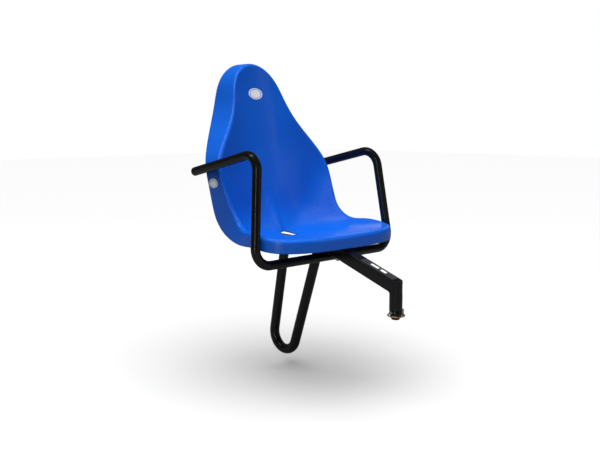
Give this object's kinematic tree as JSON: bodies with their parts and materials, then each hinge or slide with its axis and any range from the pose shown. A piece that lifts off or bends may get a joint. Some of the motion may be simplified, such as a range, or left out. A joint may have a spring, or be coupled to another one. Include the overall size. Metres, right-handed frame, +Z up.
{
  "type": "pedal go-kart passenger seat",
  "caption": "Moulded bucket seat with tube armrests on a sloping square arm, which ends in an upright coupling post with a linch pin; a bent-tube loop hangs below.",
  "frame": {"origin": "on the coupling post's axis, level with the lowest point of the elbow above it, where the socket's rim stops", "axes": "+Z up along the post; the rider faces -Y, so the seat is behind the post on the +Y side; +X is the rider's left"},
  "size_m": [0.4698, 0.5802, 0.7588],
  "materials": {
    "seat_plastic": "semi-gloss moulded, through-coloured blue",
    "frame_paint": "semi-gloss powder coat on steel",
    "black_plastic": "satin moulded",
    "zinc_steel": "bright zinc plate",
    "gold_zinc": "yellow zinc plate on spring steel",
    "label_film": "printed vinyl film, plain",
    "badge_film": "printed vinyl film, plain"
  },
  "bodies": {
    "root": {"seat_shell": "seat_plastic", "armrest_hoop": "frame_paint", "armrest_plug_left": "black_plastic", "armrest_plug_right": "black_plastic", "drawbar_arm": "frame_paint", "hoop_saddle": "frame_paint", "arm_end_plate": "frame_paint", "spine_tube": "frame_paint", "spine_end_plug": "black_plastic", "seat_cross_plate": "frame_paint", "coupling_post": "frame_paint", "post_cap": "frame_paint", "post_nose": "frame_paint", "support_loop": "frame_paint", "front_bevel_washer": "zinc_steel", "front_seat_nut": "zinc_steel", "front_seat_bolt": "zinc_steel", "rear_seat_bolts": "zinc_steel", "rear_seat_washers": "zinc_steel", "rear_seat_nuts": "zinc_steel", "arm_label": "label_film", "back_badge": "badge_film", "side_badge_left": "badge_film", "side_badge_right": "badge_film"},
    "linch_pin": {"linch_pin": "zinc_steel"},
    "linch_ring": {"linch_ring": "gold_zinc"}
  },
  "joints": [
    {"name": "linch_pin_slide", "type": "slide", "parent": "root", "child": "linch_pin", "axis": [1, 0, 0], "range_m": [0, 0.045]},
    {"name": "linch_ring_flip", "type": "hinge", "parent": "linch_pin", "child": "linch_ring", "pos_m": [0.019, 0, -0.049], "axis": [0, -1, 0], "range_deg": [0, 170]}
  ],
  "couplings": [
    {"joint": "linch_pin_slide", "follows": "linch_ring_flip", "m_per_rad": 0.015166}
  ]
}
